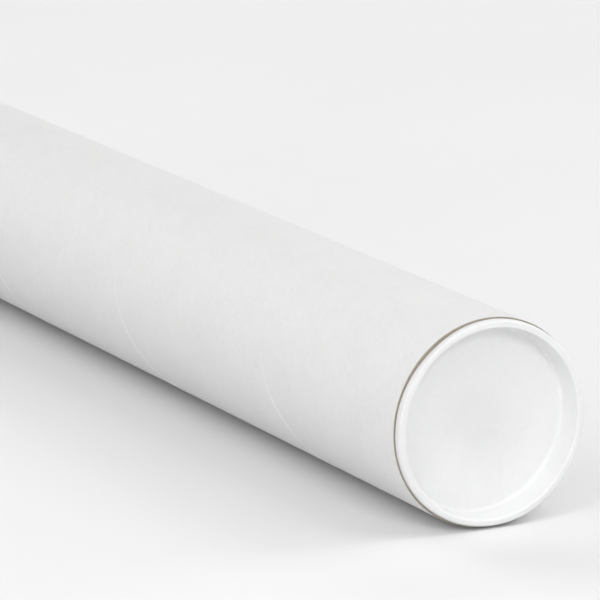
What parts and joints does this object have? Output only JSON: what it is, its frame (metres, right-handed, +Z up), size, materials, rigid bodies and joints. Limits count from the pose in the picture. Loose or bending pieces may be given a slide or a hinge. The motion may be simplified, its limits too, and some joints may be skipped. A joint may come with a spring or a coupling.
{
  "type": "drawing tube",
  "caption": "Spiral-wound white paperboard tube for rolled drawings, with kraft inner plies and a recessed white plastic plug cap closing each end.",
  "frame": {"origin": "middle of the line that the tube lies on, at the bottom centre of the whole object", "axes": "+X along the tube towards the front cap, +Z up, the tube lying on its side"},
  "size_m": [0.9214, 0.0802, 0.0802],
  "materials": {
    "white_paper": "smooth uncoated white covering paper with a faint fibre grain",
    "kraft_paper": "brown kraft paperboard, matt, cut square at the ends",
    "cap_plastic": "moulded white polyethylene, satin to glossy"
  },
  "bodies": {
    "tube": {"cover_ply": "white_paper", "outer_kraft_ply": "kraft_paper", "middle_kraft_ply": "kraft_paper", "inner_kraft_ply": "kraft_paper"},
    "front_cap": {"front_cap": "cap_plastic"},
    "back_cap": {"back_cap": "cap_plastic"}
  },
  "joints": [
    {"name": "front_cap_pull", "type": "slide", "parent": "tube", "child": "front_cap", "axis": [1, 0, 0], "range_m": [0, 0.12]},
    {"name": "back_cap_pull", "type": "slide", "parent": "tube", "child": "back_cap", "axis": [-1, 0, 0], "range_m": [0, 0.12]}
  ]
}
